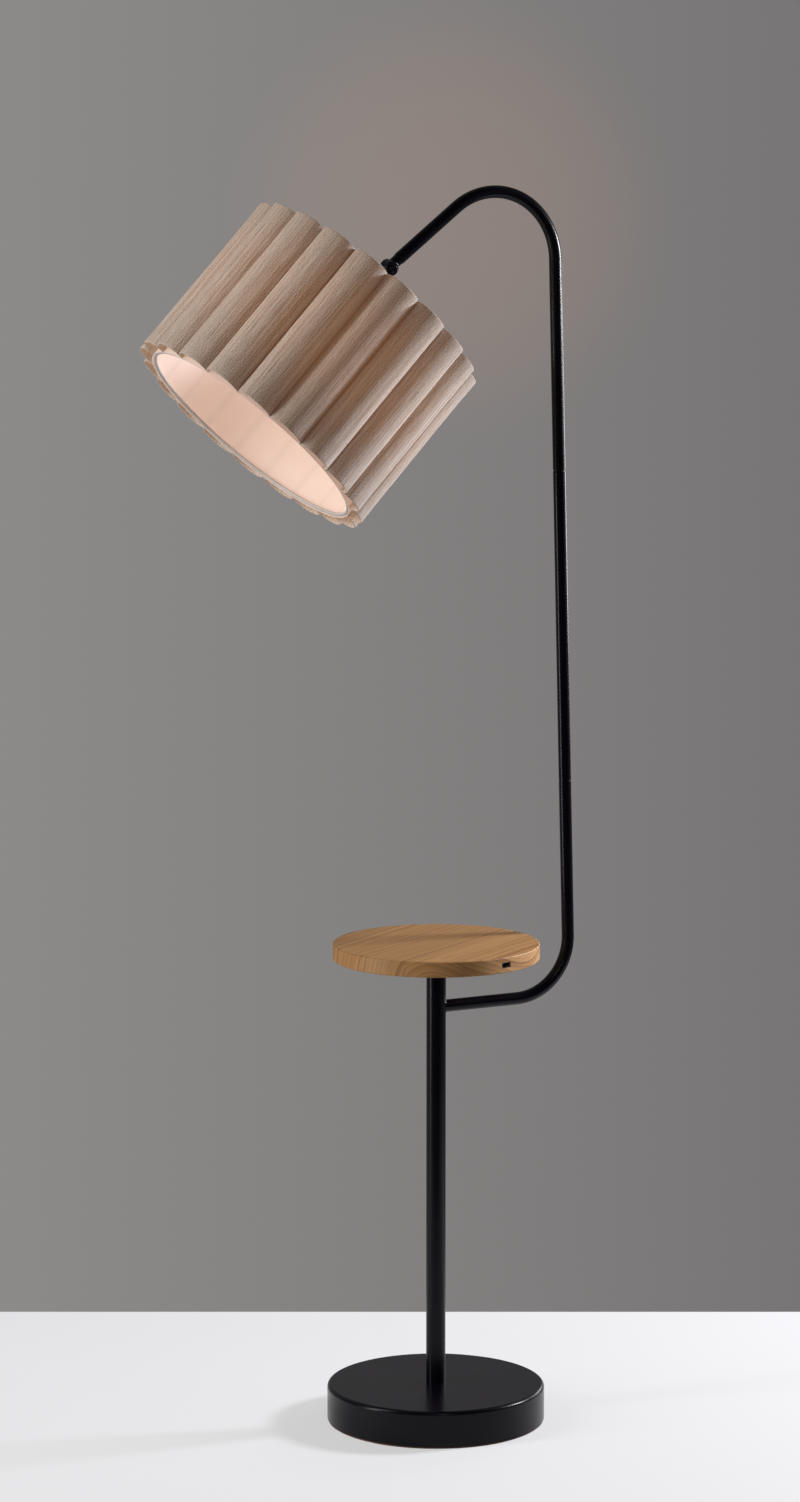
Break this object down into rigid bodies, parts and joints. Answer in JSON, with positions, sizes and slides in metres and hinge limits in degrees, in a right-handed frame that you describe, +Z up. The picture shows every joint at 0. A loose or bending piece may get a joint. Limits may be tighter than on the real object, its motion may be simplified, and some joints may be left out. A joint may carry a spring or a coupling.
{
  "type": "shelf floor lamp",
  "caption": "Floor lamp with a round weighted base, a post that carries a round wooden shelf with a charging port, and a hooked side arm that holds a tilting fluted drum shade.",
  "frame": {"origin": "centre of the base on the floor", "axes": "+Z up; the arm lies in the XZ plane, leaves the post towards +X and hooks back over the shelf, so the shade hangs towards -X; the cord enters at the back, +Y"},
  "size_m": [0.583, 0.3547, 1.583],
  "materials": {
    "black_paint": "satin black powder coat",
    "cast_weight": "rough grey casting",
    "felt": "dark brown pressed felt",
    "steel": "zinc plated",
    "rubber": "matt black",
    "wood": "oiled light oak, long grain",
    "port_steel": "bright pressed sheet",
    "port_plastic": "black moulding",
    "board": "green laminate",
    "cover_plastic": "black moulding",
    "holder_plastic": "black thermoset",
    "brass": "bare stamped brass",
    "bulb_metal": "bright cap",
    "bulb_glass": "frosted white",
    "shade_wire": "white coated wire",
    "shade_liner": "translucent white film",
    "shade_fabric": "oatmeal linen weave"
  },
  "bodies": {
    "stand": {"base_shell": "black_paint", "base_weight": "cast_weight", "base_pad": "felt", "base_washer": "steel", "base_nut": "steel", "base_nipple": "steel", "cord_bushing": "rubber", "post_plug": "steel", "post": "black_paint", "shelf_plate": "black_paint", "shelf_screws": "steel", "shelf": "wood", "usb_shell": "port_steel", "usb_tongue": "port_plastic", "usb_board": "board", "usb_cover": "cover_plastic", "usb_cover_screws": "steel", "lower_arm": "black_paint", "couplings": "black_paint", "middle_arm": "black_paint", "upper_arm": "black_paint", "arm_end_bush": "black_paint"},
    "swivel": {"swivel_upper": "black_paint", "swivel_clip": "steel", "pivot_washer": "steel", "pivot_screw": "black_paint", "pivot_nut": "black_paint"},
    "head": {"swivel_lower": "black_paint", "socket_cap": "black_paint", "socket_rod": "steel", "socket_nut": "steel", "socket_body": "holder_plastic", "socket_screw_shell": "brass", "socket_contact": "brass", "bulb_cap": "bulb_metal", "bulb_globe": "bulb_glass", "shade_ring_nut": "holder_plastic", "shade_fitter": "shade_wire", "shade_lower_ring": "shade_wire", "shade_liner": "shade_liner", "shade_fabric": "shade_fabric"},
    "switch": {"switch_shaft": "brass", "switch_knob": "holder_plastic"}
  },
  "joints": [
    {"name": "shade_pan", "type": "hinge", "parent": "stand", "child": "swivel", "pos_m": [-0.05314, 0, 1.49432], "axis": [-0.7913, 0, -0.6114], "range_deg": [-153, 176]},
    {"name": "shade_tilt", "type": "hinge", "parent": "swivel", "child": "head", "pos_m": [-0.06683, 0, 1.48374], "axis": [0.1229, -0.9796, -0.1591], "range_deg": [-47, 43]},
    {"name": "switch_turn", "type": "hinge", "parent": "head", "child": "switch", "pos_m": [-0.10286, 0.00179, 1.44491], "axis": [-0.7231, -0.1982, 0.6617], "continuous": true}
  ]
}
